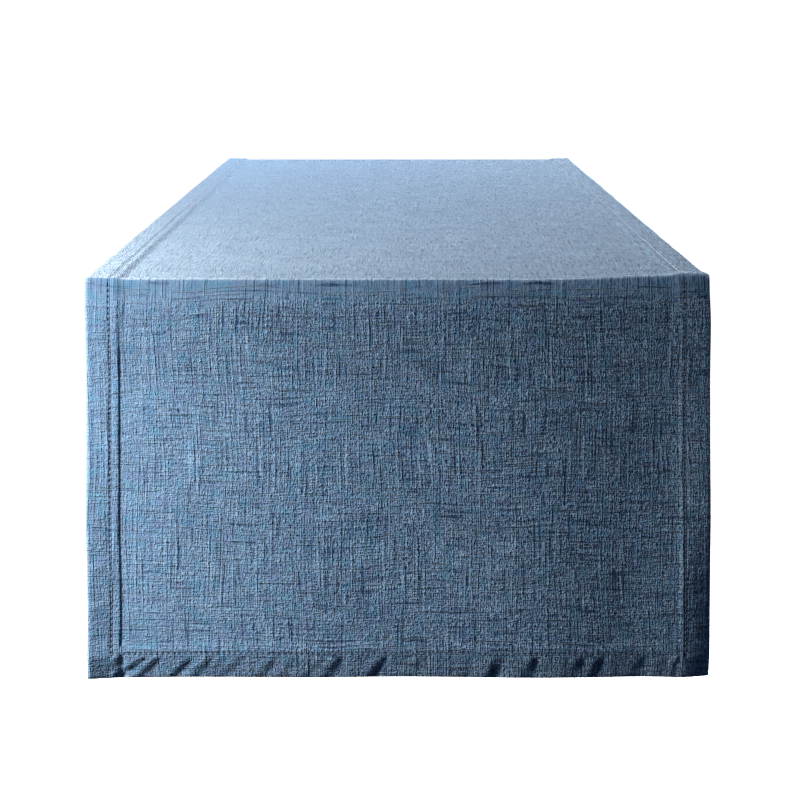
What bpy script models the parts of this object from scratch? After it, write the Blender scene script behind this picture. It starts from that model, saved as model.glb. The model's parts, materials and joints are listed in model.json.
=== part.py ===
"""Table runner: a long strip of slub cotton, hemmed all round, lying along a table with both ends hanging.

Frame: the origin is the middle of the cloth's underside, on the table top. +X is across the runner,
+Y along it towards the rear end and +Z up. Everything is in metres.

The runner is described flat and then laid over the table, so every size is one that a sewer would
measure on the cloth: x across it, s along it from its middle, and h up from its underside.
"""

import math

import bmesh
import bpy
from mathutils import Matrix, Vector

# Driving dimensions.
WIDTH = 0.356
LENGTH = 1.829
DROP = 0.229
EDGE_RADIUS = 0.003
CLOTH = 0.0005
HEM = 0.0185
SIDE_STITCH = 0.014
END_STITCH = 0.015
THREAD_RADIUS = 0.00015
GAP = 0.0003

# Sizes that follow from them.
TURNED = 2 * CLOTH
RAISED = TURNED + GAP
HEM_TOP = RAISED + CLOTH
FOLD_ROUND = 0.0004
STEP_RUN = 0.002
NEEDLE_HEIGHT = HEM_TOP + GAP + THREAD_RADIUS
GROOVE_RADIUS = THREAD_RADIUS + GAP
HINGE_RADIUS = EDGE_RADIUS + NEEDLE_HEIGHT + THREAD_RADIUS + 0.0001
ARC = EDGE_RADIUS * math.pi / 2
HALF = LENGTH / 2
FLAT = HALF - ARC - (DROP - EDGE_RADIUS)
MITRE = FLAT + ARC / 2
BEND_STEPS = 3
TABLE_EDGE = FLAT + EDGE_RADIUS

# Sewing thread is drawn as a round wire with few sides.
THREAD_SIDES_RESOLUTION = 2

# The cloth's colour and finish, and the thread's.
COTTON = {"colour": (0.16, 0.27, 0.42, 1.0), "roughness": 0.9}
THREAD = {"colour": (0.13, 0.23, 0.37, 1.0), "roughness": 0.6}

BODIES = {"top": 0, "front_drop": -1, "rear_drop": 1}


def clear_scene():
    """Removes what a new file holds."""
    for obj in list(bpy.data.objects):
        bpy.data.objects.remove(obj, do_unlink=True)


def new_collection(name):
    """A collection linked to the scene."""
    collection = bpy.data.collections.new(name)
    bpy.context.scene.collection.children.link(collection)
    return collection


def finish(name, look):
    """A Principled material with a colour and a roughness."""
    material = bpy.data.materials.new(name)
    material.use_nodes = True
    shader = material.node_tree.nodes["Principled BSDF"]
    shader.inputs["Base Color"].default_value = look["colour"]
    shader.inputs["Roughness"].default_value = look["roughness"]
    shader.inputs["Metallic"].default_value = 0.0
    return material


def laid(x, s, h):
    """The point x across, s along and h above the underside, once the cloth lies over the table."""
    run = abs(s)
    if run <= FLAT:
        y, z = run, h
    elif run <= FLAT + ARC:
        turn = (run - FLAT) / EDGE_RADIUS
        y = FLAT + (EDGE_RADIUS + h) * math.sin(turn)
        z = (EDGE_RADIUS + h) * math.cos(turn) - EDGE_RADIUS
    else:
        y, z = TABLE_EDGE + h, FLAT + ARC - run - EDGE_RADIUS
    return Vector((x, math.copysign(y, s), z))


def hinge_point(side):
    """Where a drop's hinge line crosses the middle: on the bend's bisector, just outside the cloth."""
    reach = HINGE_RADIUS / math.sqrt(2)
    return Vector((0, side * (FLAT + reach), reach - EDGE_RADIUS))


def bend_stations(first, last):
    """Distances along the cloth for the half of a bend between two of them."""
    return [first + (last - first) * i / BEND_STEPS for i in range(BEND_STEPS + 1)]


def top_stations():
    """Distances along the cloth for the top, from one mitre gap to the other."""
    rear = bend_stations(FLAT, MITRE - GAP / 2)
    return [-s for s in reversed(rear)] + rear


def drop_stations(side, end):
    """Distances along the cloth for one drop, from its mitre gap down to end."""
    return [side * s for s in bend_stations(MITRE + GAP / 2, FLAT + ARC) + [end]]


class Workshop:
    """Keeps the collections and the hinge empties, and turns finished meshes into named objects."""

    def __init__(self):
        self.parts = new_collection("table_runner")
        self.cutters = new_collection("cutters")
        self.pivots = {}
        for body, side in BODIES.items():
            if side:
                pivot = bpy.data.objects.new(f"{body}_hinge_line", None)
                pivot.location = hinge_point(side)
                pivot.empty_display_size = WIDTH / 4
                self.parts.objects.link(pivot)
                self.pivots[body] = pivot

    def attach(self, obj, body, collection):
        """Links an object drawn in world space, and sets its origin on its body's hinge line."""
        collection.objects.link(obj)
        if body in self.pivots:
            pivot = self.pivots[body]
            obj.data.transform(Matrix.Translation(-pivot.location))
            obj.parent = pivot
        return obj

    def add(self, name, data, body, look):
        """A sub-part with its own material."""
        data.materials.append(finish(f"{name}_finish", look))
        return self.attach(bpy.data.objects.new(name, data), body, self.parts)

    def add_cutter(self, name, data, body):
        """A shape that only cuts others."""
        cutter = self.attach(bpy.data.objects.new(name, data), body, self.cutters)
        cutter.hide_render = True
        cutter.display_type = "WIRE"
        return cutter


def swept(name, section, stations, place, closed):
    """Extrudes a section through the stations; place says where each of its points goes at each one."""
    bm = bmesh.new()
    mark = bm.verts.layers.float_vector.new("section")
    row = []
    for across, height in section:
        vertex = bm.verts.new(place(across, height, stations[0]))
        vertex[mark] = (across, height, 0)
        row.append(vertex)
    if closed:
        front = [bm.faces.new(row)]
    else:
        front = [bm.edges.new(pair) for pair in zip(row, row[1:])]
    for number, station in enumerate(stations[1:]):
        if closed:
            grown = bmesh.ops.extrude_face_region(bm, geom=front)["geom"]
            if number:
                bmesh.ops.delete(bm, geom=front, context="FACES_ONLY")
        else:
            grown = bmesh.ops.extrude_edge_only(bm, edges=front)["geom"]
        moved = {g for g in grown if isinstance(g, bmesh.types.BMVert)}
        for vertex in moved:
            vertex.co = place(vertex[mark].x, vertex[mark].y, station)
        kind = bmesh.types.BMFace if closed else bmesh.types.BMEdge
        front = [g for g in grown if isinstance(g, kind) and set(g.verts) <= moved]
    bmesh.ops.recalc_face_normals(bm, faces=bm.faces)
    mesh = bpy.data.meshes.new(name)
    bm.to_mesh(mesh)
    bm.free()
    return mesh


def rise(x, s):
    """How high the face layer's underside stands at a place: over the turned hem, or down on the table."""
    from_edge = min(WIDTH / 2 - abs(x), HALF - abs(s))
    start = HEM + GAP
    return RAISED * (1 - min(max((from_edge - start) / STEP_RUN, 0), 1))


def face_layer(shop, name, body, stations):
    """The layer of cloth that is seen, stepping up over the turned hems."""
    inner = WIDTH / 2 - HEM - GAP
    outline = (WIDTH / 2 - CLOTH - GAP, inner, inner - STEP_RUN)
    across = [-x for x in outline] + list(reversed(outline))

    def place(x, _, s):
        return laid(x, s, rise(x, s))

    section = [(x, 0) for x in across]
    mesh = swept(name, section, stations, place, closed=False)
    if sum(f.normal.z + f.normal.y * BODIES[body] for f in mesh.polygons) < 0:
        mesh.flip_normals()
    panel = shop.add(name, mesh, body, COTTON)
    thick = panel.modifiers.new("one layer of cloth", "SOLIDIFY")
    thick.thickness = CLOTH
    thick.offset = 1
    thick.use_even_offset = True
    return panel


def hem_section():
    """Outline of a turned hem, as (distance in from the edge, height): two flat layers and the edge fold."""
    r = FOLD_ROUND
    corner = r * (1 - math.sqrt(0.5))
    return [
        (r, 0),
        (HEM, 0),
        (HEM, TURNED),
        (CLOTH, TURNED),
        (CLOTH, HEM_TOP),
        (r, HEM_TOP),
        (corner, HEM_TOP - corner),
        (0, HEM_TOP - r),
        (0, r),
        (corner, corner),
    ]


def side_hem(shop, name, body, hand, stations):
    """The hem turned under along one long edge; hand is -1 on the left and 1 on the right."""

    def place(inward, height, s):
        return laid(hand * (WIDTH / 2 - inward), s, height)

    mesh = swept(name, hem_section(), stations, place, closed=True)
    return shop.add(name, mesh, body, COTTON)


def end_hem(shop, name, body):
    """The hem turned under along a drop's bottom edge."""
    side = BODIES[body]

    def place(inward, height, x):
        return laid(x, side * (HALF - inward), height)

    mesh = swept(name, hem_section(), [-WIDTH / 2, WIDTH / 2], place, closed=True)
    return shop.add(name, mesh, body, COTTON)


def stitch_route(stations, height, hand):
    """Points of the seam along one long edge."""
    return [laid(hand * (WIDTH / 2 - SIDE_STITCH), s, height) for s in stations]


def drop_route(side, height):
    """Points of a drop's seam: down the left edge, across above the bottom edge and up the right."""
    stations = drop_stations(side, HALF - END_STITCH)
    left = stitch_route(stations, height, -1)
    right = stitch_route(stations, height, 1)
    return left + list(reversed(right))


def wire(name, points, radius):
    """A round wire with filled ends through the points."""
    curve = bpy.data.curves.new(name, "CURVE")
    curve.dimensions = "3D"
    curve.bevel_depth = radius
    curve.bevel_resolution = THREAD_SIDES_RESOLUTION
    curve.use_fill_caps = True
    spline = curve.splines.new("POLY")
    spline.points.add(len(points) - 1)
    for target, point in zip(spline.points, points):
        target.co = (*point, 1)
    return curve


def wire_mesh(name, points, radius):
    """The same wire as one closed mesh, for cutting."""
    guide = bpy.data.objects.new(name, wire(name, points, radius))
    bpy.context.scene.collection.objects.link(guide)
    evaluated = guide.evaluated_get(bpy.context.evaluated_depsgraph_get())
    mesh = bpy.data.meshes.new_from_object(evaluated)
    bpy.data.objects.remove(guide, do_unlink=True)
    bm = bmesh.new()
    bm.from_mesh(mesh)
    bmesh.ops.remove_doubles(bm, verts=bm.verts, dist=0.00001)
    bm.to_mesh(mesh)
    bm.free()
    return mesh


def cut_groove(pieces, cutter):
    """Leaves room for the bobbin thread in the underside of the hems."""
    for piece in pieces:
        groove = piece.modifiers.new("bobbin thread groove", "BOOLEAN")
        groove.operation = "DIFFERENCE"
        groove.solver = "EXACT"
        groove.object = cutter


def longer(points, extra):
    """The route with its two ends carried on, so that a cutter along it leaves open ends."""
    first = points[0] + (points[0] - points[1]).normalized() * extra
    last = points[-1] + (points[-1] - points[-2]).normalized() * extra
    return [first] + points[1:-1] + [last]


def make_seam(shop, name, body, route, hems):
    """Needle thread on the face, and bobbin thread let into the hems' undersides, along one seam."""
    needle = wire(f"{name}_needle_thread", route(NEEDLE_HEIGHT), THREAD_RADIUS)
    shop.add(f"{name}_needle_thread", needle, body, THREAD)
    below = route(THREAD_RADIUS)
    shop.add(f"{name}_bobbin_thread", wire(f"{name}_bobbin_thread", below, THREAD_RADIUS), body, THREAD)
    groove = wire_mesh(f"{name}_groove", longer(below, GAP * 2), GROOVE_RADIUS)
    cut_groove(hems, shop.add_cutter(f"{name}_groove", groove, body))


def make_top(shop):
    """What lies on the table top and over the first half of each edge bend."""
    stations = top_stations()
    face_layer(shop, "top_panel", "top", stations)
    for side_name, hand in (("left", -1), ("right", 1)):
        hem = side_hem(shop, f"top_{side_name}_hem", "top", hand, stations)

        def route(height, hand=hand):
            return stitch_route(stations, height, hand)

        make_seam(shop, f"top_{side_name}", "top", route, [hem])


def make_drop(shop, body):
    """What hangs at one end of the table."""
    side = BODIES[body]
    end = body.split("_")[0]
    ramp = [HALF - HEM - GAP - STEP_RUN, HALF - HEM - GAP, HALF - CLOTH - GAP]
    panel_stations = drop_stations(side, ramp[0]) + [side * s for s in ramp[1:]]
    face_layer(shop, f"{end}_drop_panel", body, panel_stations)
    hem_stations = drop_stations(side, HALF - HEM - GAP)
    hems = [
        side_hem(shop, f"{end}_{side_name}_hem", body, hand, hem_stations)
        for side_name, hand in (("left", -1), ("right", 1))
    ]
    hems.append(end_hem(shop, f"{end}_end_hem", body))

    def route(height):
        return drop_route(side, height)

    make_seam(shop, end, body, route, hems)


def main():
    """Builds the whole runner."""
    clear_scene()
    shop = Workshop()
    make_top(shop)
    for body in ("front_drop", "rear_drop"):
        make_drop(shop, body)


main()
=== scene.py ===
"""A draped table runner of slub cotton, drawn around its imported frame.

The runner is described flat, the way it was sewn, and then laid over the table: x across the cloth,
s along it from its middle, and h up from its underside. All sizes are in metres.
"""

import json
import logging
import math
from collections.abc import Callable
from dataclasses import dataclass
from enum import Enum
from functools import partial

import bpy
import numpy as np
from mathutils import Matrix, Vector

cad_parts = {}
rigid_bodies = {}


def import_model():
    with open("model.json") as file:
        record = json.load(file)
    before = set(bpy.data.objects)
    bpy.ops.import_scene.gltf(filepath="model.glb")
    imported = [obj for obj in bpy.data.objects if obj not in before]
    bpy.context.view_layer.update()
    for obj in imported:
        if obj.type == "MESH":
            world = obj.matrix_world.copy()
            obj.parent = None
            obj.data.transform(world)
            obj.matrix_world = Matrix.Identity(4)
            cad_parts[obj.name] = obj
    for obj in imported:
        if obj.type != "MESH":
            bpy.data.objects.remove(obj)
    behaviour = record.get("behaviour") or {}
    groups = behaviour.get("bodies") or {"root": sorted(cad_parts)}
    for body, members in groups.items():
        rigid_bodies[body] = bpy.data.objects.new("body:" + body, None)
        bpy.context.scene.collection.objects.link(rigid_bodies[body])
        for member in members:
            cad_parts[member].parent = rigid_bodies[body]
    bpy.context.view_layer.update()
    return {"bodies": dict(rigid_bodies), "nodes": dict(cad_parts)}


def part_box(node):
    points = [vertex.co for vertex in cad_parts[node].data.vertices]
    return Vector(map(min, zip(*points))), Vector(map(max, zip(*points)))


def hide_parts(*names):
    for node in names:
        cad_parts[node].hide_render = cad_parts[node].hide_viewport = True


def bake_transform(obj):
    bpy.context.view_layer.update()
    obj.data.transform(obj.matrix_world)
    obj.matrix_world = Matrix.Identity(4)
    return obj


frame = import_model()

MM = 0.001
FLAT_MAP = "flat_metres"
STEP = {"interpolation_type": "SMOOTHSTEP"}
log = logging.getLogger("table_runner")

Array = np.ndarray
Span = tuple[float, float]
Colour = tuple[float, float, float, float]
Node = bpy.types.Node
Material = bpy.types.Material
Object = bpy.types.Object
Socket = bpy.types.NodeSocket
Adder = Callable[..., Node]


class End(Enum):
    """The two ends of the runner, by their side of the middle along +Y."""

    FRONT = -1
    REAR = 1

    @property
    def word(self) -> str:
        """The end's name, as the frame's nodes spell it."""
        return self.name.lower()

    @property
    def body(self) -> str:
        """The frame's body that hangs at this end."""
        return f"{self.word}_drop"


class Hand(Enum):
    """The two long edges, by their side of the middle along +X."""

    LEFT = -1
    RIGHT = 1


def smooth(value: Array, low: float, high: float) -> Array:
    """An S-curve from 0 at low to 1 at high, which may be below low for a falling step."""
    t = np.clip((value - low) / (high - low), 0, 1)
    return t * t * (3 - 2 * t)


def mound(value: Array, centre: float, spread: float) -> Array:
    """A bell curve of height 1, by its middle and its standard deviation."""
    return np.exp(-0.5 * ((value - centre) / spread) ** 2)


def linear(code: str, alpha: float = 1.0) -> Colour:
    """Turns an sRGB hex colour into linear light, with an alpha."""
    parts = [int(code[i : i + 2], 16) / 255 for i in (0, 2, 4)]
    light = [p / 12.92 if p <= 0.04045 else ((p + 0.055) / 1.055) ** 2.4 for p in parts]
    return (*light, alpha)


@dataclass(frozen=True)
class Cut:
    """The runner's sizes: those that the frame gives, and those of its cloth and hems."""

    half_width: float
    table_edge: float
    drop: float
    edge_radius: float = 3 * MM
    crease: float = 1.2 * MM
    cloth: float = 0.5 * MM
    hem: float = 18.6 * MM
    tuck: float = 16 * MM
    side_stitch: float = 14 * MM
    end_stitch: float = 15 * MM
    stitch_length: float = 3.2 * MM

    @classmethod
    def from_frame(cls) -> "Cut":
        """Reads the width, the table's edge and the drop from the frame's end hem."""
        low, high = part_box("front_end_hem")
        return cls(half_width=high.x, table_edge=-high.y, drop=-low.z)

    @property
    def turned(self) -> float:
        """Thickness of the two layers that a hem turns under."""
        return 2 * self.cloth

    @property
    def flat(self) -> float:
        """From the middle to where the cloth starts to bend over the table's edge."""
        return self.table_edge - self.crease

    @property
    def arc(self) -> float:
        """Length of cloth in one bend, along its underside."""
        return self.crease * math.pi / 2

    @property
    def bend_end(self) -> float:
        """From the middle to where the cloth hangs straight."""
        return self.flat + self.arc

    @property
    def half_length(self) -> float:
        """From the middle to an end edge."""
        return self.bend_end + self.drop - self.crease

    @property
    def flat_half(self) -> Span:
        """The cut size of half the runner, with what its hems take up."""
        taken = self.hem + self.tuck
        return 2 * (self.half_width + taken), self.half_length + taken

    def lay(self, x: Array, s: Array, h: Array) -> Array:
        """Lays flat points over the table, and gives one row of world coordinates for each."""
        x, s, h = np.broadcast_arrays(x, s, h)
        run = np.abs(s)
        turn = np.clip((run - self.flat) / self.crease, 0, math.pi / 2)
        hang = np.maximum(run - self.bend_end, 0)
        y = np.minimum(run, self.flat) + (self.crease + h) * np.sin(turn)
        z = (self.crease + h) * np.cos(turn) - self.crease - hang
        return np.stack([x, np.copysign(y, s), z], axis=-1)

    def bend(self, piece: Object, end: End) -> None:
        """Bakes a piece's placement into its mesh; its points are already laid over the table's round edge.
        """
        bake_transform(piece)


@dataclass(frozen=True)
class Pucker:
    """One small pleat that the seam pulls into a hem.

    at is its place along the seam, lean how far it slants for each metre away from the seam, depth
    how deep its valley is and width how wide.
    """

    at: float
    lean: float
    depth: float
    width: float

    def relief(self, along: Array, away: Array) -> Array:
        """Height of the pleat: a low ridge with a steep fall into a narrow valley, below zero."""
        width = self.width * (0.6 + 0.6 * smooth(away, 0, 12 * MM))
        d = (along - self.at - self.lean * away) / width
        return self.depth * (0.55 * mound(d, -1.25, 0.75) - mound(d, 0.1, 0.62))


@dataclass(frozen=True)
class PuckerRow:
    """A row of puckers along one hem, at given places or at a random pitch."""

    seed: int
    first: float
    last: float
    places: tuple[float, ...] = ()
    pitch: Span = (9 * MM, 20 * MM)
    depth: Span = (0.50 * MM, 1.30 * MM)
    width: Span = (2.4 * MM, 4.4 * MM)
    lean: Span = (-0.85, -0.05)
    lean_scatter: float = 0.14
    shallow_bias: float = 1.2

    def pleats(self) -> list[Pucker]:
        """Draws the puckers in order; their slant goes from lean's first value to its second."""
        rng = np.random.default_rng(self.seed)
        places = list(self.places)
        if not places:
            at = self.first
            while at < self.last:
                places.append(at)
                at += rng.uniform(*self.pitch)
        made = []
        for at in places:
            share = (at - self.first) / (self.last - self.first)
            lean = self.lean[0] + (self.lean[1] - self.lean[0]) * share
            lean += rng.normal(0, self.lean_scatter)
            deep = rng.random() ** self.shallow_bias
            depth = self.depth[0] + (self.depth[1] - self.depth[0]) * deep
            made.append(Pucker(at, lean, depth, width=rng.uniform(*self.width)))
        return made


class Swell:
    """A smooth random surface between about -1 and 1, from seeded heights on a coarse lattice."""

    def __init__(self, seed: int, cell: Span, reach: Span) -> None:
        """Draws the lattice, spaced by cell and going as far as reach each way from the middle."""
        self.cell, self.reach = cell, reach
        shape = [math.ceil(2 * r / c) + 3 for r, c in zip(reach, cell)]
        self.heights = np.random.default_rng(seed).uniform(-1, 1, shape)

    def __call__(self, x: Array, s: Array) -> Array:
        """The surface's height at flat points."""
        places = [(v + r) / c for v, r, c in zip((x, s), self.reach, self.cell)]
        last = [n - 2 for n in self.heights.shape]
        low = [np.clip(np.floor(p).astype(int), 0, n) for p, n in zip(places, last)]
        (i, j), (u, v) = low, [smooth(p - k, 0, 1) for p, k in zip(places, low)]
        h = self.heights
        near = h[i, j] * (1 - u) + h[i + 1, j] * u
        far = h[i, j + 1] * (1 - u) + h[i + 1, j + 1] * u
        return near * (1 - v) + far * v


@dataclass(frozen=True)
class HemForm:
    """What one kind of hem shows on the face.

    fold is its inner fold's distance in from the edge and stitch its seam's. sink is how far the
    seam pulls the cloth in. step is the length of the fall from the hem to the bare cloth, ridge
    the low ridge before it and groove the dip after it. puff is how far the hem swells between
    its edge and its seam, and roll how far its folded edge stands up.
    """

    fold: float
    stitch: float
    sink: float
    step: float
    ridge: float
    groove: float
    puff: float
    roll: float = 0.22 * MM

    def height(self, inward: Array, cut: Cut) -> Array:
        """The face's height over the hem, by the distance in from the hem's edge."""
        over = smooth(inward, self.fold + self.step * 0.75, self.fold - self.step * 0.25)
        height = cut.cloth + cut.turned * over
        # each shape's height, its distance in from the edge and its spread
        shapes = (
            (self.roll, 2.6 * MM, 1.0 * MM),
            (self.puff, 8.6 * MM, 3.4 * MM),
            (self.ridge, self.fold - 1.4 * MM, 1.0 * MM),
            (-self.groove, self.fold + 1.2 * MM, 0.7 * MM),
            (-self.sink, self.stitch, 0.7 * MM),
        )
        for amount, place, spread in shapes:
            height = height + amount * mound(inward, place, spread)
        return height


@dataclass(frozen=True)
class Drape:
    """The slow shapes of the cloth.

    A pair named _run is where a shape comes in down the drop, and one named _in where it does so
    inwards from a long edge. stiff and pull hold the value at the left and what the right adds.
    """

    arch: float = 0.9 * MM
    arch_spread: float = 13 * MM
    right_share: Span = (-0.10, 0.16)
    stiff: Span = (3.2 * MM, 1.4 * MM)
    stiff_run: Span = (-3 * MM, 16 * MM)
    pull: Span = (3.6 * MM, 2.4 * MM)
    pull_run: Span = (16 * MM, 58 * MM)
    kick: float = 2.4 * MM
    kick_start: float = 48 * MM
    kick_end: float = 1.15
    rear_share: float = 0.45
    curl: float = 5.2 * MM
    curl_power: float = 1.1
    wave: float = 1.1 * MM
    fold: float = 2.0 * MM
    fold_ridge: Span = (0.078, 0.030)
    fold_valley: Span = (0.141, 0.016)
    fold_run: Span = (20 * MM, 150 * MM)
    left_out: float = 4.4 * MM
    left_out_in: Span = (20 * MM, -6 * MM)
    left_out_run: Span = (40 * MM, 190 * MM)
    right_out: float = 5.0 * MM
    right_out_in: Span = (26 * MM, -4 * MM)
    right_out_run: Span = (0, 25 * MM)
    right_out_end: Span = (60 * MM, 190 * MM)
    right_back: float = 6.5 * MM
    right_back_in: float = 17 * MM
    right_back_power: float = 1.4
    right_back_run: Span = (90 * MM, 205 * MM)
    ripple: float = 0.10 * MM
    upright: float = 0.07 * MM
    clearance: float = 0.17 * MM
    lift: float = 2.9 * MM
    lift_in: Span = (85 * MM, 18 * MM)
    lift_spread: float = 34 * MM
    wrinkle: float = 0.35 * MM
    wrinkle_pitch: float = 24 * MM
    wrinkle_slant: float = 0.55


class Relief:
    """Where the cloth's face and underside lie over the flat runner."""

    edge_radius = 1.5 * MM
    # places of the puckers of the front end's hem, in millimetres from its left edge
    front_pleats = (
        *(20, 36, 43, 62, 73, 81, 92, 110, 121, 138, 147),
        *(172, 195, 221, 236, 241, 258, 277, 285, 296, 320, 331),
    )

    def __init__(self, cut: Cut) -> None:
        """Draws the puckers of every hem and the cloth's slow swells.

        Args:
            cut: The runner's sizes.
        """
        self.cut = cut
        self.drape = Drape()
        hem, stitch = cut.hem, cut.side_stitch
        # fold, stitch, sink, step, ridge, groove and puff; the fold of the right-hand hem is nearer
        right_fold = hem - 1.9 * MM
        self.sharp_sides = (
            HemForm(hem, stitch, 0.30 * MM, 1.7 * MM, 0.08 * MM, 0.10 * MM, 0.25 * MM),
            HemForm(right_fold, stitch, 0.35 * MM, 1.5 * MM, 0.30 * MM, 0.15 * MM, 0.25 * MM),
        )
        self.soft_side = HemForm(hem, stitch, 0.25 * MM, 5.0 * MM, 0.05 * MM, 0.0, 0.15 * MM)
        self.ending = HemForm(hem, cut.end_stitch, 0.45 * MM, 5.5 * MM, 0.0, 0.0, 0.2 * MM)
        inner = cut.half_width - hem
        places = tuple(place * MM - cut.half_width for place in self.front_pleats)
        self.end_pleats = {
            End.FRONT: PuckerRow(14, -inner, inner, places).pleats(),
            End.REAR: PuckerRow(27, -inner, inner).pleats(),
        }
        # one more goes on down from the inner fold of each side hem
        self.corner_pleats = [
            Pucker(hand.value * inner + 1.2 * MM, -0.10, 1.0 * MM, 2.6 * MM) for hand in Hand
        ]
        reach = cut.half_length - cut.end_stitch - 8 * MM
        row = {
            "pitch": (11 * MM, 30 * MM),
            "depth": (0.2 * MM, 0.85 * MM),
            "width": (2.4 * MM, 4.2 * MM),
            "lean": (-0.1, 0.2),
        }
        self.side_pleats = {
            hand: PuckerRow(41 + hand.value, -reach, reach, **row).pleats() for hand in Hand
        }
        whole = (cut.half_width, cut.half_length)
        self.slow = Swell(5, (0.062, 0.055), whole)
        self.quick = Swell(6, (0.021, 0.0075), whole)
        self.upright = Swell(7, (0.009, 0.040), whole)
        self.wander = Swell(8, (0.4, 0.045), whole)

    def edges(self, x: Array, s: Array) -> tuple[Array, Array]:
        """Distances in from the nearest long edge and from the nearest end edge."""
        return self.cut.half_width - np.abs(x), self.cut.half_length - np.abs(s)

    def hang(self, s: Array) -> Array:
        """How far below the bend a point hangs."""
        return np.maximum(np.abs(s) - self.cut.bend_end, 0)

    def hanging(self, s: Array) -> Array:
        """0 on the table, 1 where the cloth hangs clear of the bend."""
        return smooth(np.abs(s), self.cut.flat, self.cut.bend_end + 10 * MM)

    def pleat_height(self, x: Array, s: Array) -> Array:
        """Height that the puckers add, down to below zero in the valleys of a hanging hem."""
        cut = self.cut
        side, end = self.edges(x, s)
        total = np.zeros(np.broadcast(x, s).shape)
        # puckers grow from the seam outwards, and the folded edge holds them in
        grow = smooth(end, cut.end_stitch + 0.4 * MM, cut.end_stitch - 4 * MM)
        hold = 0.75 + 0.25 * smooth(end, 0, 4 * MM)
        calm = smooth(side, 0.35 * cut.hem, 1.0 * cut.hem)
        for which, pleats in self.end_pleats.items():
            here = (np.sign(s) == which.value) * grow * hold * calm
            for pleat in pleats:
                total = total + here * pleat.relief(x, cut.end_stitch - end)
        for pleat in self.corner_pleats:
            total = total + grow * hold * pleat.relief(x, cut.end_stitch - end)
        grow = smooth(side, cut.side_stitch + 0.4 * MM, cut.side_stitch - 6 * MM)
        hold = 0.4 + 0.6 * smooth(side, 0, 5 * MM)
        calm = smooth(end, cut.end_stitch, cut.end_stitch + 14 * MM)
        # they are deeper towards the ends of the drops
        level = 0.5 + 1.0 * smooth(np.abs(s), cut.bend_end + 90 * MM, cut.half_length - 40 * MM)
        for hand, pleats in self.side_pleats.items():
            here = (np.sign(x) == hand.value) * grow * hold * calm * level
            for pleat in pleats:
                total = total + here * pleat.relief(s, cut.side_stitch - side)
        hanging = self.hanging(s)
        # on the table only what stands up is left, and less of it
        return total * hanging + np.maximum(total, 0) * 0.6 * (1 - hanging)

    def lean(self, x: Array, s: Array) -> Array:
        """The stiff cloth stands off below the table's edge, draws back in and then hangs outwards."""
        cut, drape = self.cut, self.drape
        hang, hanging = self.hang(s), self.hanging(s)
        arch = drape.arch * mound(np.abs(s), cut.flat, drape.arch_spread) * (1 - hanging)
        to_right = smooth(x, *drape.right_share)
        stiff, pull = (near + more * to_right for near, more in (drape.stiff, drape.pull))
        lean = stiff * smooth(hang, *drape.stiff_run) - pull * smooth(hang, *drape.pull_run)
        kick = smooth(hang, drape.kick_start, drape.kick_end * cut.drop)
        lean = (lean + (pull + drape.kick) * kick) * (hang > 0)
        return arch + lean * np.where(s > 0, drape.rear_share, 1.0)

    def turns(self, x: Array, s: Array) -> Array:
        """The end hem's curl towards the table, each drop's slow waves and its long edges' turns."""
        cut, drape = self.cut, self.drape
        hang, hanging = self.hang(s), self.hanging(s)
        side, end = self.edges(x, s)
        curl = -drape.curl * np.clip(1 - end / cut.end_stitch, 0, 1) ** drape.curl_power * hanging
        wave = drape.wave * self.slow(x, s) * (0.15 + 0.85 * hang / cut.drop) * hanging
        # a slow upright fold near the right of each drop
        fold = drape.fold * mound(x, *drape.fold_ridge) - drape.fold * mound(x, *drape.fold_valley)
        wave = wave + fold * smooth(hang, *drape.fold_run)
        # the left-hand hem turns a little outwards lower down
        out = smooth(x, *(inward - cut.half_width for inward in drape.left_out_in))
        wave = wave + drape.left_out * out * smooth(hang, *drape.left_out_run)
        # the right-hand one turns outwards near the table's edge and rolls back lower down
        out = smooth(x, *(cut.half_width - inward for inward in drape.right_out_in))
        out = out * smooth(hang, *drape.right_out_run) * (1 - smooth(hang, *drape.right_out_end))
        wave = wave + drape.right_out * out
        rolled = np.clip(1 - side / drape.right_back_in, 0, 1) ** drape.right_back_power * (x > 0)
        return curl + wave - drape.right_back * rolled * smooth(hang, *drape.right_back_run)

    def creases(self, x: Array, s: Array) -> Array:
        """Small ripples, the right-hand hem's lift by the front edge and the wrinkles beside it."""
        cut, drape = self.cut, self.drape
        hanging = self.hanging(s)
        side = self.edges(x, s)[0]
        ripple = drape.ripple * self.quick(x, s) + drape.upright * self.upright(x, s)
        ripple = ripple * (0.25 + 0.75 * hanging) + drape.clearance * (1 - hanging)
        # the hem stands off the table by the front edge, because its layers resist the bend
        near = mound(s, -cut.flat - 6 * MM, drape.lift_spread)
        lift = drape.lift * smooth(x, *(cut.half_width - inward for inward in drape.lift_in)) * near
        lift = lift * (0.75 + 0.25 * smooth(side, 0, 8 * MM))
        # faint slanted wrinkles run in from that hem
        turn = math.tau * (s + drape.wrinkle_slant * x) / drape.wrinkle_pitch
        where = mound(x, cut.half_width - 40 * MM, 24 * MM) * mound(s, -cut.flat + 95 * MM, 70 * MM)
        return ripple + lift + drape.wrinkle * where * (1 + np.sin(turn))

    def sway(self, x: Array, s: Array) -> Array:
        """How far the whole cloth stands off the table or off its hanging plane."""
        return self.lean(x, s) + self.turns(x, s) + self.creases(x, s)

    def face(self, x: Array, s: Array) -> Array:
        """Height of the cloth's face above the table or the hanging plane."""
        cut = self.cut
        side, end = self.edges(x, s)
        # the side hems lie flatter on the table and over the bend than they do below it
        sharp = smooth(self.hang(s), 18 * MM, 48 * MM)
        crisp = np.where(x < 0, *(form.height(side, cut) for form in self.sharp_sides))
        along_side = crisp * sharp + self.soft_side.height(side, cut) * (1 - sharp)
        height = np.maximum(along_side, self.ending.height(end, cut))
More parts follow.
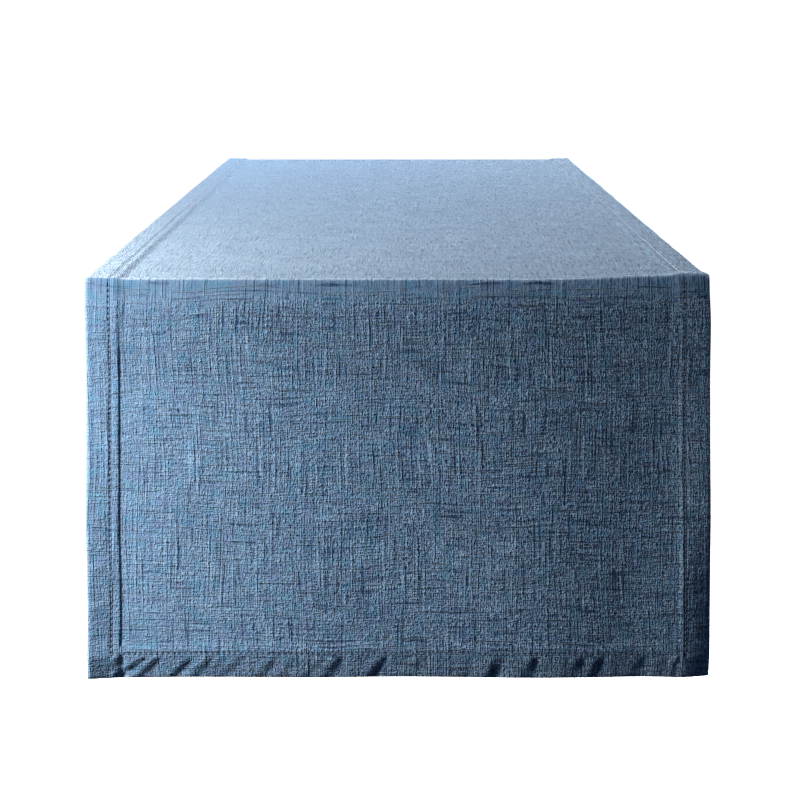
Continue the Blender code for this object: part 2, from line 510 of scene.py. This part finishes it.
        # the corner is thicker, where both hems turn under
        corner = smooth(side, cut.hem + 1.2 * MM, cut.hem - 0.6 * MM)
        corner = corner * smooth(end, cut.end_stitch + 1.0 * MM, cut.end_stitch - 1.5 * MM)
        height = height + 0.4 * MM * corner
        height = np.maximum(height, cut.cloth) + self.pleat_height(x, s)
        return self.rounded(height, x, s) + self.sway(x, s)

    def rounded(self, height: Array, x: Array, s: Array) -> Array:
        """Brings the face down to half the hem's thickness at the edge, as the folded cloth turns."""
        inward = np.minimum(*self.edges(x, s))
        middle = (self.cut.cloth + self.cut.turned) / 2
        turn = np.sqrt(np.clip(1 - (1 - np.clip(inward / self.edge_radius, 0, 1)) ** 2, 0, 1))
        return middle + (height - middle) * turn

    def back(self, x: Array, s: Array) -> Array:
        """Height of the cloth's underside: the turned hem's back, its inner fold and the bare field."""
        cut = self.cut
        side, end = self.edges(x, s)
        inward = np.minimum(side, end)
        lip = 0.5 * MM
        fold = cut.hem - 2.5 * MM
        turned = np.clip((inward - (fold - lip)) / lip, 0, 1)
        turned = cut.turned * (1 - np.sqrt(np.clip(1 - turned**2, 0, 1)))
        stitch = np.where(side < end, side - cut.side_stitch, end - cut.end_stitch)
        seam = 0.2 * MM * mound(stitch, 0, 0.6 * MM)
        field = self.face(x, s) - self.sway(x, s) - cut.cloth
        past = inward > fold
        flat = np.where(past, np.maximum(field, 0), turned + seam)
        flat = flat + np.where(past, 0, np.minimum(self.pleat_height(x, s), 0.5 * MM))
        return self.rounded(flat, x, s) + self.sway(x, s)

    def place(self, x: Array, s: Array, height: Array) -> Array:
        """Lays points of the cloth in the world, with the small wander of its edges.

        Args:
            x: Places across the cloth.
            s: Places along it from the middle.
            height: Heights from face or back.

        Returns:
            One row of world coordinates for each point.
        """
        cut = self.cut
        x, s = np.broadcast_arrays(x, s)
        out = (x / cut.half_width) ** 3
        # it is narrower at the table's edge, and its right edge flares down the drop
        narrow = 0.9 * MM * mound(np.abs(s), cut.flat + 4 * MM, 45 * MM)
        flare = 2.4 * MM * np.maximum(out, 0) * smooth(self.hang(s), 0, cut.drop)
        across = x - out * narrow + flare + 0.45 * MM * self.wander(x, s) * np.abs(out)
        end = smooth(np.abs(s), cut.half_length - 60 * MM, cut.half_length)
        along = s + 0.25 * MM * end * self.slow(x, s) * np.sign(s)
        return cut.lay(across, along, height)


def graded(length: float, features: tuple[float, ...], fine: float, coarse: float) -> Array:
    """Grid lines that crowd round the places where the cloth's shape is small.

    Args:
        length: How far the lines go from 0.
        features: The places that they crowd round.
        fine: The spacing at a feature.
        coarse: The widest spacing.

    Returns:
        The lines' places, from 0 to length.
    """
    growth = 0.24
    lines = [0.0]
    while lines[-1] < length:
        far = min(abs(lines[-1] - f) for f in features)
        lines.append(lines[-1] + min(fine + growth * far, coarse))
    lines = np.array(lines)
    return lines * (length / lines[-1])


@dataclass(frozen=True)
class Grain:
    """A noise drawn out along the yarns.

    size is its size across and along in millimetres, and seed sets one noise apart from another.
    weight is its share in the relief. Between the two values of band it goes smoothly from 0 to 1.
    """

    size: Span
    seed: float
    weight: float = 1.0
    band: Span = (0.0, 1.0)


@dataclass(frozen=True)
class Weave:
    """Sizes of the slub cotton's pattern, in millimetres on the flat cloth.

    The real yarns are about 0.6 mm apart, too fine to show at this distance, so they are drawn at
    about twice that.
    """

    pitches: Span = (1.22, 1.36)
    yarn_weight: float = 0.4
    jitter: Grain = Grain((3.0, 3.0), 3.1, weight=2.4)
    # dashes and longer streaks both ways, and a speckle
    grains: tuple[Grain, ...] = (
        Grain((0.84, 2.7), 11.0, 1.15),
        Grain((2.7, 0.84), 23.0, 1.45),
        Grain((0.82, 26.0), 37.0, 0.95),
        Grain((26.0, 0.82), 53.0, 1.1),
        Grain((0.84, 0.84), 71.0, 1.2),
    )
    # thick places in the yarns, few and long, and thin ones
    slubs: tuple[Grain, Grain] = (
        Grain((1.7, 60.0), 61.0, band=(0.64, 0.72)),
        Grain((30.0, 1.36), 83.0, band=(0.65, 0.74)),
    )
    gaps: tuple[Grain, Grain] = (
        Grain((1.53, 30.0), 97.0, band=(0.64, 0.76)),
        Grain((24.0, 1.53), 109.0, band=(0.63, 0.76)),
    )
    # the yarns' slow wander, and how far it takes them each way
    wander: tuple[Grain, Grain] = (Grain((70.0, 70.0), 2.3), Grain((70.0, 70.0), 5.9))
    wander_by: tuple[float, float, float] = (5.0, 9.0, 0.0)


def plug(node: Node, given: dict) -> None:
    """Links or sets sockets of a node.

    Args:
        node: The node that they belong to.
        given: What each socket gets, by name or number. A socket is linked, a node is linked by
            its first output, and anything else is set as the value.
    """
    for place, value in given.items():
        value = value.outputs[0] if isinstance(value, Node) else value
        if isinstance(value, Socket):
            node.id_data.links.new(value, node.inputs[place])
        else:
            node.inputs[place].default_value = value


def add_node(tree: bpy.types.NodeTree, kind: str, *values, **settings) -> Node:
    """Adds one node with its settings and links.

    Args:
        tree: The node tree that it joins.
        kind: The node's type, as bpy names it after ShaderNode, and after a dot its operation.
        *values: What its first sockets get, in their order.
        **settings: In lower case the node's own properties, and capitalised what its other
            sockets get, with spaces as underscores. i6 stands for the seventh socket.

    Returns:
        The new node.
    """
    kind, _, operation = kind.partition(".")
    node = tree.nodes.new("ShaderNode" + kind)
    if operation:
        node.operation = operation
    given = dict(enumerate(values))
    for name, value in settings.items():
        if name[0] == "i" and name[1:].isdigit():
            given[int(name[1:])] = value
        elif name.islower():
            setattr(node, name, value)
        else:
            given[name.replace("_", " ")] = value
    plug(node, given)
    return node


def new_finish(name: str) -> tuple[Material, Adder, Node]:
    """Makes a material.

    Args:
        name: Its name.

    Returns:
        The material, the function that adds a node to it, and its shader.
    """
    material = bpy.data.materials.new(name)
    material.use_nodes = True
    tree = material.node_tree
    return material, partial(add_node, tree), tree.nodes["Principled BSDF"]


@dataclass(frozen=True)
class SlubCotton:
    """Plain-weave cotton of uneven yarns, piece-dyed blue and left matt.

    The uneven yarns give the eye short bright and dark dashes both ways. These are partly the yarns' own
    tone and partly the shading of their relief, painted into the colour as painted shade in the low places
    and painted light on the crests. The loose fibre on them gives a pale bloom where the cloth is seen at a
    low angle.
    """

    cut: Cut
    name: str = "slub_cotton_woven"
    # shade and pale end the yarns' mix, which is partly their own tone and partly painted shade and light
    # that follow the relief
    shade: str = "0b2e52"
    pale: str = "7897b5"
    # painted shade for the needle holes and the seam's line between them
    shaded_hole: str = "0e1c33"
    worn: str = "8fabcb"
    bloom: str = "d6e6ee"
    # patches where the dye leans to violet or teal
    tints: tuple[str, str] = ("4c5e86", "376e8c")
    mottles: tuple[Grain, Grain] = (
        Grain((9.0, 7.2), 7.0, 0.36, (0.50, 0.72)),
        Grain((9.0, 7.2), 17.0, 0.36, (0.50, 0.72)),
    )
    bump: float = 0.72 * MM
    # what slubs, gaps and needle holes add to the height, and slubs and gaps to the tone, which is partly
    # painted light on the raised slubs and painted shade in the sunken gaps
    heights: tuple[float, float, float] = (1.6, -0.5, -0.7)
    tones_and_shading: Span = (0.30, -0.60)
    contrast: float = 0.72
    mean_tone: float = 0.465
    # the relief's share at the bend, and from where to where in millimetres it comes back
    taut: float = 0.28
    taut_reach: Span = (1.0, 14.0)
    # the relief's share at the left edge and at the right, and with it that of its painted shading; it is
    # larger to the right, where the key lamp's light rakes
    raking_share: Span = (0.38, 1.65)
    # distances from the seam, and cosines of the place in a stitch, from no hole to a full one
    seam_band: Span = (1.15, 0.45)
    hole_band: Span = (-0.4, 0.5)
    # how much painted shade shows on the seam's line between the holes, and how strong the painted shade in
    # the holes is
    seam_shade_line: float = 0.2
    hole_shade_share: float = 0.75
    worn_band: Span = (2.2, 0.3)
    worn_share: float = 0.35
    rough: Span = (0.95, 0.8)
    weave: Weave = Weave()

    def grain(self, add: Adder, flat: Node, grain: Grain) -> Node:
        """One noise, on the cloth's flat coordinates in millimetres."""
        scale = (1 / grain.size[0], 1 / grain.size[1], 1)
        place = (grain.seed, grain.seed * 0.37, grain.seed)
        moved = add("Mapping", flat, Location=place, Scale=scale)
        return add("TexNoise", Vector=moved, Scale=1.0, Detail=0.0)

    def marks(self, add: Adder, flat: Node, grain: Grain) -> Node:
        """0 over most of the cloth, and 1 in the marks that the noise's band picks out."""
        return add("MapRange", self.grain(add, flat, grain), *grain.band, **STEP)

    def drift(self, add: Adder, flat: Node) -> Node:
        """Flat coordinates that wander, so that no yarn runs dead straight."""
        both = add("CombineXYZ", *(self.grain(add, flat, way) for way in self.weave.wander))
        return add("VectorMath.MULTIPLY_ADD", both, self.weave.wander_by, flat)

    def yarns(self, add: Adder, flat: Node) -> Node:
        """The plain weave: round yarns that pass over and under each other."""
        weave = self.weave
        jitter = self.grain(add, flat, weave.jitter)
        parts = add("SeparateXYZ", flat)
        turns = []
        for place, pitch in zip(parts.outputs, weave.pitches):
            place = add("Math.DIVIDE", place, pitch)
            place = add("Math.MULTIPLY_ADD", jitter, weave.jitter.weight, place)
            turns.append(add("Math.MULTIPLY", place, math.pi))
        warp, weft = (add("Math.SINE", turn) for turn in turns)
        crossing = add("Math.MULTIPLY", warp, weft)
        over = add("Math.MULTIPLY_ADD", crossing, 0.5, 0.5)
        under = add("Math.SUBTRACT", 1.0, over)
        warp, weft = (add("Math.ABSOLUTE", wave) for wave in (warp, weft))
        up = add("Math.MULTIPLY", warp, over)
        return add("Math.MULTIPLY_ADD", weft, under, up)

    def inward(self, add: Adder, flat: Node) -> list[Node]:
        """Distances in millimetres in from the nearest long edge and from the nearest end edge."""
        reach = (self.cut.half_width / MM, self.cut.half_length / MM)
        places = [add("Math.ABSOLUTE", part) for part in add("SeparateXYZ", flat).outputs[:2]]
        return [add("Math.SUBTRACT", *pair) for pair in zip(reach, places)]

    def holes(self, add: Adder, flat: Node, inward: list[Node]) -> Node:
        """1 in each needle hole of the seam and 0 away from them, with a faint line between; the colour
        paints these as shade, and the relief dips there.
        """
        parts = add("SeparateXYZ", flat)
        seams = (self.cut.side_stitch / MM, self.cut.end_stitch / MM)
        marks = []
        rate = math.tau * MM / self.cut.stitch_length
        for axis, other in ((0, 1), (1, 0)):
            away = add("Math.SUBTRACT", inward[axis], seams[axis])
            away = add("Math.ABSOLUTE", away)
            near = add("MapRange", away, *self.seam_band, **STEP)
            # a seam starts where it meets the other one
            inside = add("MapRange", inward[other], seams[other] - 0.6, seams[other], **STEP)
            turn = add("Math.MULTIPLY", parts.outputs[other], rate)
            shaded_hole = add("MapRange", add("Math.COSINE", turn), *self.hole_band, **STEP)
            # a faint line of painted shade joins the holes
            line = self.seam_shade_line
            shaded_hole = add("Math.MULTIPLY_ADD", shaded_hole, 1 - line, line)
            near = add("Math.MULTIPLY", near, inside)
            marks.append(add("Math.MULTIPLY", near, shaded_hole))
        return add("Math.MAXIMUM", *marks)

    def fine(self, add: Adder, flat: Node) -> Node:
        """The cloth's small relief, around 0."""
        weave = self.weave
        middle = -0.5 * (weave.yarn_weight + sum(grain.weight for grain in weave.grains))
        yarns = self.yarns(add, flat)
        fine = add("Math.MULTIPLY_ADD", yarns, weave.yarn_weight, middle)
        for grain in weave.grains:
            noise = self.grain(add, flat, grain)
            fine = add("Math.MULTIPLY_ADD", noise, grain.weight, fine)
        return fine

    def evenness(self, add: Adder, uv: Node) -> tuple[Node, Node]:
        """The share of the relief that is left where the bend draws the yarns flat, and the share that
        grows from left to right.

        Args:
            add: Adds a node to the material.
            uv: The cloth's flat coordinates in metres.

        Returns:
            The two shares. The second scales the relief and its painted shading up towards the right, where
            the key lamp's light rakes, and down towards the left.
        """
        across, along, _ = add("SeparateXYZ", uv).outputs
        run = add("Math.DIVIDE", add("Math.ABSOLUTE", along), MM)
        from_bend = add("Math.SUBTRACT", run, self.cut.bend_end / MM)
        from_bend = add("Math.ABSOLUTE", from_bend)
        away = add("MapRange", from_bend, *self.taut_reach, **STEP)
        taut = add("Math.MULTIPLY_ADD", away, 1 - self.taut, self.taut)
        width = self.cut.half_width
        return taut, add("MapRange", across, -width, width, *self.raking_share)

    def colour(self, add: Adder, flat: Node, tone_and_relief_shading: Node, edge: Node, holes: Node) -> Socket:
        """The dyed yarns' colour, with its painted relief shading, the worn folded edges and painted shade
        in the needle holes.

        Args:
            add: Adds a node to the material.
            flat: The cloth's wandering flat coordinates in millimetres.
            tone_and_relief_shading: 0 in the darkest yarns and low places, and 1 in the palest yarns and
                crests. It is partly the yarns' tone and partly painted shade and light that follow the
                relief.
            edge: Distances in from the nearest edge, in millimetres.
            holes: 1 in the needle holes, where painted shade goes.

        Returns:
            The colour.
        """
        layers = [(add("Clamp", tone_and_relief_shading), self.pale)]
        for grain, tint in zip(self.mottles, self.tints):
            patch = self.marks(add, flat, grain)
            layers.append((add("Math.MULTIPLY", patch, grain.weight), tint))
        edge = add("MapRange", edge, *self.worn_band, **STEP)
        layers.append((add("Math.MULTIPLY", edge, self.worn_share), self.worn))
        # painted shade in the needle holes and along the seam
        layers.append((add("Math.MULTIPLY", holes, self.hole_shade_share), self.shaded_hole))
        colour = linear(self.shade)
        for share, code in layers:
            colour = add("Mix", share, i6=colour, i7=linear(code), data_type="RGBA").outputs[2]
        return colour

    def make(self) -> Material:
        """Builds the material on the cloth's flat coordinates."""
        material, add, shader = new_finish(self.name)
        uv = add("UVMap", uv_map=FLAT_MAP)
        flat = add("VectorMath.SCALE", uv, Scale=1 / MM)
        inward = self.inward(add, flat)
        holes = self.holes(add, flat, inward)
        flat = self.drift(add, flat)
        taut, raking_share = self.evenness(add, uv)
        # the relief and its painted shading grow to the right, where the light rakes
        fine = add("Math.MULTIPLY", taut, raking_share)
        fine = add("Math.MULTIPLY", self.fine(add, flat), fine)
        marks = []
        for both in (self.weave.slubs, self.weave.gaps):
            either = add("Math.ADD", *(self.marks(add, flat, way) for way in both))
            marks.append(add("Math.MULTIPLY", either, raking_share))
        # the colour's tone follows the relief: painted shade in its low places and painted light on its
        # crests, over the yarns' own tone
        height = tone_and_relief_shading = fine
        for mark, weight in zip((*marks, holes), self.heights):
            height = add("Math.MULTIPLY_ADD", mark, weight, height)
        for mark, weight in zip(marks, self.tones_and_shading):
            tone_and_relief_shading = add("Math.MULTIPLY_ADD", mark, weight, tone_and_relief_shading)
        tone_and_relief_shading = add("Math.MULTIPLY_ADD", tone_and_relief_shading, self.contrast, self.mean_tone)
        edge = add("Math.MINIMUM", *inward)
        finish = {
            "Base Color": self.colour(add, flat, tone_and_relief_shading, edge, holes),
            "Normal": add("Bump", Strength=1.0, Distance=self.bump, Height=height),
            "Roughness": add("MapRange", fine, -0.5, 0.5, *self.rough),
            "Specular IOR Level": 0.2,
            "Sheen Weight": 0.35,
            "Sheen Roughness": 0.5,
            "Sheen Tint": linear(self.bloom),
        }
        plug(shader, finish)
        return material


@dataclass(frozen=True)
class SewingThread:
    """Twisted polyester thread, spun in two plies and dyed to the cloth.

    Its plies give it a fine slanted ribbing and more lustre than the cotton.
    """

    name: str = "sewing_thread_twisted"
    body: str = "5f80a6"
    # the darker colour is painted shade in the grooves between the plies
    ply_groove_shade: str = "2c4769"
    ply_pitch: float = 0.55 * MM
    ply_depth: float = 0.05 * MM

    def make(self) -> Material:
        """Builds the material on the thread's own length and girth."""
        material, add, shader = new_finish(self.name)
        length, girth, _ = add("SeparateXYZ", add("UVMap", uv_map=FLAT_MAP)).outputs
        turn = add("Math.DIVIDE", length, self.ply_pitch)
        turn = add("Math.ADD", turn, girth)
        turn = add("Math.MULTIPLY", turn, math.tau)
        # the grooves between the plies get painted shade, and the crests the body colour
        share = add("MapRange", add("Math.SINE", turn), -1.0, 0.6)
        colours = {"i6": linear(self.ply_groove_shade), "i7": linear(self.body)}
        finish = {
            "Base Color": add("Mix", share, **colours, data_type="RGBA").outputs[2],
            "Normal": add("Bump", Strength=0.8, Distance=self.ply_depth, Height=share),
            "Roughness": 0.5,
            "Sheen Weight": 0.2,
        }
        plug(shader, finish)
        return material


@dataclass
class MeshDraft:
    """Points, flat coordinates and faces on their way to becoming a mesh.

    An edge with both its ends among the sharp points is shaded as a corner.
    """

    points: Array
    flat: Array
    faces: list[tuple[int, ...]]
    sharp: tuple[int, ...] = ()

    def make(self, name: str, material: Material) -> Object:
        """Builds the object.

        Args:
            name: The object's and the mesh's name.
            material: Its only material.

        Returns:
            The new object, smooth shaded, with its flat coordinates as a UV map.
        """
        mesh = bpy.data.meshes.new(name)
        mesh.from_pydata(self.points.tolist(), [], self.faces)
        layer = mesh.uv_layers.new(name=FLAT_MAP)
        corners = np.empty(len(mesh.loops), np.int32)
        mesh.loops.foreach_get("vertex_index", corners)
        layer.data.foreach_set("uv", self.flat[corners].astype(np.float32).ravel())
        mesh.shade_smooth()
        if self.sharp:
            sharp = mesh.attributes.new("sharp_edge", "BOOLEAN", "EDGE")
            ends = np.empty(2 * len(mesh.edges), np.int32)
            mesh.edges.foreach_get("vertices", ends)
            sharp.data.foreach_set("value", np.isin(ends.reshape(-1, 2), self.sharp).all(axis=1))
        mesh.materials.append(material)
        obj = bpy.data.objects.new(name, mesh)
        bpy.context.scene.collection.objects.link(obj)
        return obj


def quads(grid: Array) -> list[tuple[int, ...]]:
    """Makes one face for each cell of a grid of point numbers."""
    corners = (grid[:-1, :-1], grid[:-1, 1:], grid[1:, 1:], grid[1:, :-1])
    return [tuple(quad) for quad in np.stack([c.ravel() for c in corners], -1).tolist()]


@dataclass
class ClothHalf:
    """Half of the cloth, from the middle of the table to one end edge, with its hems turned under."""

    cut: Cut
    relief: Relief
    end: End
    fine: float = 0.16 * MM
    field_spacing: float = 2.3 * MM
    table_fine: float = 0.8 * MM
    table_spacing: float = 4.5 * MM
    bend_lines: int = 9
    back_field_stride: int = 6
    back_hem_stride: int = 2
    back_hem_margin: float = 6 * MM

    def across(self) -> Array:
        """Grid lines across the cloth, from the left edge to the right."""
        cut = self.cut
        features = (0, cut.side_stitch, cut.hem)
        left = graded(cut.half_width, features, self.fine, self.field_spacing) - cut.half_width
        return np.concatenate([left[:-1], -left[::-1]])

    def along(self) -> Array:
        """Grid lines along the cloth, from the middle to the end edge, without a sign."""
        cut = self.cut
        features = (0, cut.end_stitch, cut.hem)
        below = graded(cut.drop - cut.crease, features, self.fine, self.field_spacing)
        bend = np.linspace(cut.bend_end, cut.flat, self.bend_lines)[1:]
        table = cut.flat - graded(cut.flat, (0,), self.table_fine, self.table_spacing)[1:]
        return np.concatenate([cut.half_length - below, bend, table])[::-1]

    def back_columns(self, lines: Array) -> list[int]:
        """The grid lines across that the underside keeps: all edges, some of the hem, few of the field."""
        last = len(lines) - 1
        kept = []
        for i, x in enumerate(lines):
            nearest = min(i, last - i)
            in_hem = self.cut.half_width - abs(x) < self.cut.hem + self.back_hem_margin
            stride = self.back_hem_stride if in_hem else self.back_field_stride
            if nearest % stride == 0 or nearest == 1:
                kept.append(i)
        return kept

    def draft(self) -> MeshDraft:
        """Draws the face, the underside, the shared outline and the closing strip at the middle."""
        across, run = self.across(), self.along() * self.end.value
        kept = self.back_columns(across)
        inner = kept[1:-1]
        points, flat = [], []
        for layer, grid in (
            (self.relief.face, np.meshgrid(across, run)),
            (self.relief.back, np.meshgrid(across[inner], run[:-1])),
        ):
            points.append(self.relief.place(*grid, layer(*grid)).reshape(-1, 3))
            flat.append(np.stack(grid, -1).reshape(-1, 2))
        over = np.arange(len(points[0])).reshape(len(run), -1)
        back = over.size + np.arange(len(points[1])).reshape(len(run) - 1, -1)
        under = np.concatenate([over[:-1, :1], back, over[:-1, -1:]], axis=1)
        faces = quads(over) + quads(under.T)
        for k, (a, b) in enumerate(zip(kept, kept[1:])):
            near, far = int(under[-1, k]), int(under[-1, k + 1])
            faces.append((near, *over[-1, a : b + 1].tolist(), far))
            near, far = int(under[0, k]), int(under[0, k + 1])
            cap = (*over[0, a : b + 1].tolist(), far, near)
            faces.append(tuple(dict.fromkeys(reversed(cap))))
        if self.end is End.FRONT:
            faces = [tuple(reversed(face)) for face in faces]
        middle = (*over[0].tolist(), *under[0].tolist())
        return MeshDraft(np.concatenate(points), np.concatenate(flat), faces, sharp=middle)

    def build(self, material: Material) -> Object:
        """Builds the cloth in its finish, bakes its placement and hides the frame's panels that it stands
        in for.
        """
        word = self.end.word
        cloth = self.draft().make(f"{word}_cloth", material)
        self.cut.bend(cloth, self.end)
        panels = ["top_panel", "top_left_hem", "top_right_hem"]
        panels += [f"{word}_{part}" for part in ("drop_panel", "left_hem", "right_hem", "end_hem")]
        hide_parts(*panels)
        return cloth


class Layer(Enum):
    """The two threads of a lockstitch."""

    NEEDLE = "needle"
    BOBBIN = "bobbin"


@dataclass
class SeamThread:
    """One thread of the seam round half the runner, dipping into the cloth at every stitch."""

    cut: Cut
    relief: Relief
    end: End
    layer: Layer
    radius: float = 0.22 * MM
    sides: int = 6
    rings: int = 6
    dip: float = 0.42 * MM
    dip_power: int = 6
    sit: float = 0.10 * MM

    def route(self) -> Array:
        """Flat points along the seam: down one edge, across the end and back up the other."""
        cut = self.cut
        x = cut.half_width - cut.side_stitch
        s = cut.half_length - cut.end_stitch
        step = cut.stitch_length / self.rings
        down = np.arange(0, s, step)
        over = np.arange(-x, x, step)
        side = self.end.value
        left = np.stack([np.full_like(down, -x), side * down], -1)
        across = np.stack([over, np.full_like(over, side * s)], -1)
        right = np.stack([np.full_like(down, x), side * (s - down)], -1)
        return np.concatenate([left, across, right])

    def line(self) -> tuple[Array, Array]:
        """The thread's line, which dips at each stitch, and the same line 1 mm further off the cloth."""
        x, s = self.route().T
        up = self.layer is Layer.NEEDLE
        surface = self.relief.face(x, s) if up else self.relief.back(x, s)
        level = np.isclose(np.abs(s), self.cut.half_length - self.cut.end_stitch)
        phase = np.where(level, x, s) / self.cut.stitch_length
        offset = self.sit - self.dip * np.abs(np.cos(math.pi * phase)) ** self.dip_power
        height = surface + offset if up else surface - offset
        return self.relief.place(x, s, height), self.relief.place(x, s, height + MM)

    def draft(self) -> MeshDraft:
        """Sweeps a ring of points along the thread's line."""
        line, higher = self.line()
        normal = higher - line
        normal /= np.linalg.norm(normal, axis=1, keepdims=True)
        tangent = np.gradient(line, axis=0)
        tangent /= np.linalg.norm(tangent, axis=1, keepdims=True)
        side = np.cross(tangent, normal)
        side /= np.linalg.norm(side, axis=1, keepdims=True)
        normal = np.cross(side, tangent)
        girth = np.arange(self.sides) / self.sides
        ring = [side * math.cos(a) + normal * math.sin(a) for a in girth * math.tau]
        points = np.stack([line + self.radius * r for r in ring], 1)
        index = np.arange(len(line) * self.sides).reshape(-1, self.sides)
        faces = quads(np.concatenate([index, index[:, :1]], axis=1))
        faces += [tuple(index[0][::-1].tolist()), tuple(index[-1].tolist())]
        distance = np.arange(len(line)) * self.cut.stitch_length / self.rings
        flat = np.stack(np.meshgrid(distance, girth, indexing="ij"), -1)
        return MeshDraft(points.reshape(-1, 3), flat.reshape(-1, 2), faces)

    def build(self, material: Material) -> Object:
        """Builds the thread in its finish, bakes its placement and hides the frame's threads that it stands
        in for.
        """
        word, kind = self.end.word, f"{self.layer.value}_thread"
        thread = self.draft().make(f"{word}_{kind}_stitches", material)
        self.cut.bend(thread, self.end)
        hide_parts(f"{word}_{kind}", f"top_left_{kind}", f"top_right_{kind}")
        return thread


@dataclass(frozen=True)
class Lamp:
    """A soft studio lamp: where it hangs, what it faces, its size, its power and how far it fans out."""

    name: str
    place: tuple[float, float, float]
    target: tuple[float, float, float]
    size: float
    power: float
    colour: str = "ffffff"
    fan: float = 180.0

    def hang(self) -> None:
        """Hangs the lamp and turns it to its target."""
        data = bpy.data.lights.new(self.name, "AREA")
        data.shape = "DISK"
        data.size = self.size
        data.energy = self.power
        data.spread = math.radians(self.fan)
        data.color = linear(self.colour)[:3]
        lamp = bpy.data.objects.new(self.name, data)
        lamp.location = self.place
        lamp.rotation_euler = (Vector(self.target) - Vector(self.place)).to_track_quat("-Z", "Y").to_euler()
        lamp.visible_camera = False
        bpy.context.scene.collection.objects.link(lamp)


@dataclass
class Studio:
    """The pale floor, the lamps, the even surround and the camera.

    surround is the surround's strength on the cloth and behind it. The camera's tilt is in degrees
    below level, and its lens in millimetres.
    """

    cut: Cut
    floor_level: float = -0.74
    floor_size: float = 60.0
    floor_glow: float = 1.05
    surround: Span = (0.11, 1.1)
    camera_back: float = 1.6242
    camera_height: float = 0.1497
    camera_side: float = 0.0016
    camera_tilt: float = 7.617
    lens: float = 129.3

    def lay_floor(self) -> None:
        """A plain pale floor, at the height that a table's feet would stand on.

        It is evenly lit, as if by lamps of its own, and throws no light up on the cloth.
        """
        half = self.floor_size / 2
        corners = [(-half, -half), (half, -half), (half, half), (-half, half)]
        mesh = bpy.data.meshes.new("floor")
        mesh.from_pydata([(x, y, self.floor_level) for x, y in corners], [], [(0, 1, 2, 3)])
        floor = bpy.data.objects.new("floor", mesh)
        paint, _, shader = new_finish("floor_painted_matt")
        finish = {
            "Base Color": linear("f4f4f2"),
            "Roughness": 0.9,
            "Emission Color": linear("ffffff"),
            "Emission Strength": self.floor_glow,
        }
        plug(shader, finish)
        mesh.materials.append(paint)
        floor.visible_diffuse = False
        floor.visible_glossy = False
        bpy.context.scene.collection.objects.link(floor)

    def hang_lamps(self) -> None:
        """A small warm lamp lights the front drop from the left, a wide one the top, and one the rear."""
        front = -self.cut.table_edge
        key = (-0.62, front - 0.34, 0.16), (-0.42, front, -0.07)
        Lamp("key_lamp", *key, size=0.15, power=7.1, colour="fffaf2", fan=94.0).hang()
        Lamp("top_lamp", (-0.05, 1.3, 1.7), (0, 0.6, 0), size=2.2, power=152.0).hang()
        rear = (0.5, -front + 1.2, 0.7), (0, -front, -0.12)
        Lamp("rear_fill", *rear, size=0.8, power=9.0).hang()

    def light_surround(self) -> None:
        """A dim bluish glow on the cloth from all sides, and plain white behind it."""
        world = bpy.data.worlds.new("surround")
        bpy.context.scene.world = world
        world.use_nodes = True
        tree = world.node_tree
        seen = add_node(tree, "LightPath").outputs["Is Camera Ray"]
        ends = {"i6": linear("aacfff"), "i7": linear("ffffff")}
        glow = {
            "Color": add_node(tree, "Mix", seen, **ends, data_type="RGBA").outputs[2],
            "Strength": add_node(tree, "MapRange", seen, 0.0, 1.0, *self.surround),
        }
        plug(tree.nodes["Background"], glow)

    def place_camera(self) -> None:
        """Stands the camera before the front drop, a little above the table."""
        data = bpy.data.cameras.new("camera")
        data.lens = self.lens
        camera = bpy.data.objects.new("camera", data)
        camera.location = (self.camera_side, -self.cut.table_edge - self.camera_back, self.camera_height)
        camera.rotation_euler = (math.radians(90 - self.camera_tilt), 0, 0)
        bpy.context.scene.collection.objects.link(camera)
        bpy.context.scene.camera = camera
        bpy.context.scene.view_settings.view_transform = "Standard"

    def build(self) -> None:
        """Sets up the whole studio."""
        self.place_camera()
        self.lay_floor()
        self.hang_lamps()
        self.light_surround()


def clear_start() -> None:
    """Removes the objects of a new file and leaves the frame's."""
    mine = set(frame["nodes"].values()) | set(frame["bodies"].values())
    for obj in list(bpy.data.objects):
        if obj not in mine:
            bpy.data.objects.remove(obj, do_unlink=True)


def main() -> None:
    """Builds the studio and the runner, end by end, and reports each piece."""
    logging.basicConfig(level=logging.INFO, format="%(name)s: %(message)s")
    clear_start()
    cut = Cut.from_frame()
    Studio(cut).build()
    relief = Relief(cut)
    cotton, thread = SlubCotton(cut).make(), SewingThread().make()
    for end in End:
        cloth = ClothHalf(cut, relief, end).build(cotton)
        stitches = [SeamThread(cut, relief, end, layer).build(thread) for layer in Layer]
        for piece in (cloth, *stitches):
            log.info("%s: %d faces", piece.name, len(piece.data.polygons))


if __name__ == "__main__":
    main()
